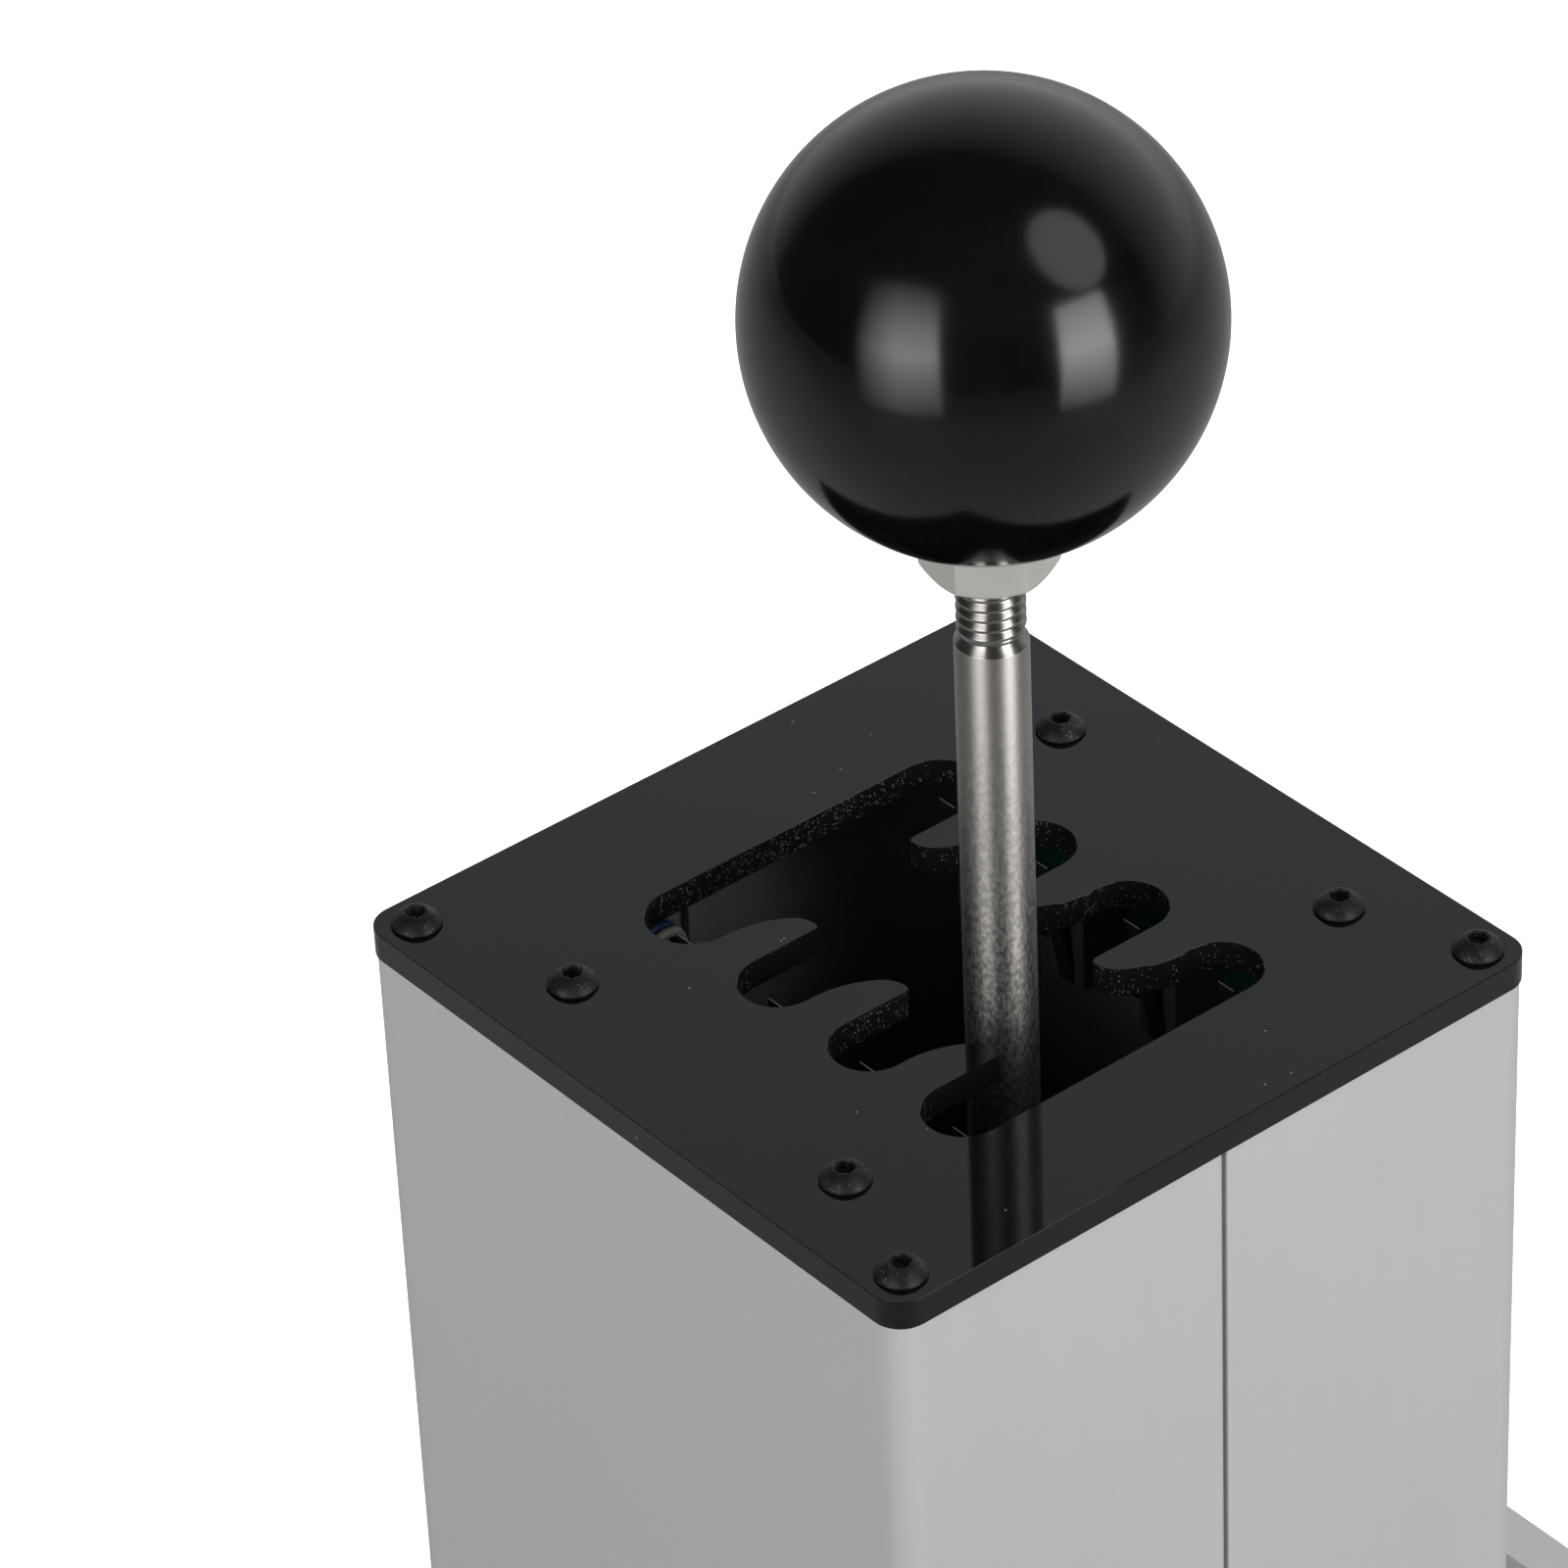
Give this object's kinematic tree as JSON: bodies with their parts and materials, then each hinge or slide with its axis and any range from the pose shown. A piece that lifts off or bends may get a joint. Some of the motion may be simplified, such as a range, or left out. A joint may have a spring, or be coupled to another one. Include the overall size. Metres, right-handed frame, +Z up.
{
  "type": "gear shifter",
  "caption": "Desktop H-pattern gear shifter: a ball-topped lever in a slotted gate plate on a split square metal box with a flanged base.",
  "frame": {"origin": "centre of the underside of the base plate", "axes": "+Z up, +Y towards the driver, +X towards the driver's left, first gear's side"},
  "size_m": [0.09, 0.139, 0.2216],
  "materials": {
    "black_acrylic": "polished black sheet with laser-cut edges",
    "anodised_aluminium": "satin silver anodised",
    "machined_aluminium": "as machined",
    "black_oxide": "black oxide",
    "zinc_steel": "bright zinc plate",
    "stainless_steel": "turned stainless steel",
    "black_phenolic": "polished black",
    "insert_brass": "turned brass",
    "bush_bronze": "oil-filled bronze",
    "board_green": "solder mask",
    "switch_black": "moulded",
    "button_red": "moulded",
    "leaf_steel": "rolled spring strip",
    "bracket_steel": "black powder coat",
    "yoke_steel": "milled steel",
    "spring_steel": "drawn spring wire",
    "hardened_steel": "ground and hardened",
    "chip_black": "moulded",
    "socket_shell": "moulded",
    "header_white": "moulded",
    "wire_blue": "insulated",
    "wire_white": "insulated"
  },
  "bodies": {
    "housing": {"gate_plate": "black_acrylic", "front_shell": "anodised_aluminium", "rear_shell": "anodised_aluminium", "base_plate": "anodised_aluminium", "gate_corner_screws": "black_oxide", "gate_bracket_screws": "black_oxide", "gate_bracket_nuts": "zinc_steel", "base_screws": "black_oxide", "front_switch_bracket": "bracket_steel", "rear_switch_bracket": "bracket_steel", "front_switch_board": "board_green", "rear_switch_board": "board_green", "front_board_screws": "zinc_steel", "rear_board_screws": "zinc_steel", "front_switches": "switch_black", "rear_switches": "switch_black", "front_switch_buttons": "button_red", "rear_switch_buttons": "button_red", "front_switch_leaves": "leaf_steel", "rear_switch_leaves": "leaf_steel", "pivot_frame": "bracket_steel", "pivot_frame_screws": "black_oxide", "side_pivot_pins": "stainless_steel", "side_pivot_clips": "spring_steel", "detent_plate": "hardened_steel", "detent_screws": "black_oxide", "centring_springs": "spring_steel", "control_board": "board_green", "board_standoffs": "insert_brass", "control_board_screws": "zinc_steel", "controller_chip": "chip_black", "cable_socket": "socket_shell", "wire_headers": "header_white", "blue_wires": "wire_blue", "white_wires": "wire_white"},
    "yoke": {"yoke": "yoke_steel", "side_pivot_bushes": "bush_bronze", "fore_aft_pin": "stainless_steel", "fore_aft_pin_clips": "spring_steel", "yoke_grub_screw": "black_oxide"},
    "lever": {"lever_block": "machined_aluminium", "fore_aft_bushes": "bush_bronze", "shift_rod": "stainless_steel", "rod_grub_screw": "black_oxide", "jam_nut": "stainless_steel", "knob_insert": "insert_brass", "ball_knob": "black_phenolic", "plunger_housing": "zinc_steel", "plunger_spring": "spring_steel"},
    "plunger": {"detent_plunger": "stainless_steel"}
  },
  "joints": [
    {"name": "side_to_side", "type": "hinge", "parent": "housing", "child": "yoke", "pos_m": [0.00935, 0, 0.026], "axis": [0, 1, 0], "range_deg": [-19.5, 9.9], "stiffness_Nm_per_rad": 1.5, "deforming": ["centring_springs"]},
    {"name": "fore_aft", "type": "hinge", "parent": "yoke", "child": "lever", "pos_m": [0.00935, 0, 0.026], "axis": [1, 0, 0], "range_deg": [-10.9, 10.9], "deforming": ["front_switch_leaves", "rear_switch_leaves", "front_switch_buttons", "rear_switch_buttons"]},
    {"name": "detent_slide", "type": "slide", "parent": "lever", "child": "plunger", "axis": [0, 0, 1], "range_m": [0, 0.0012], "stiffness_N_per_m": 600, "springref_m": -0.003, "deforming": ["plunger_spring"]}
  ]
}
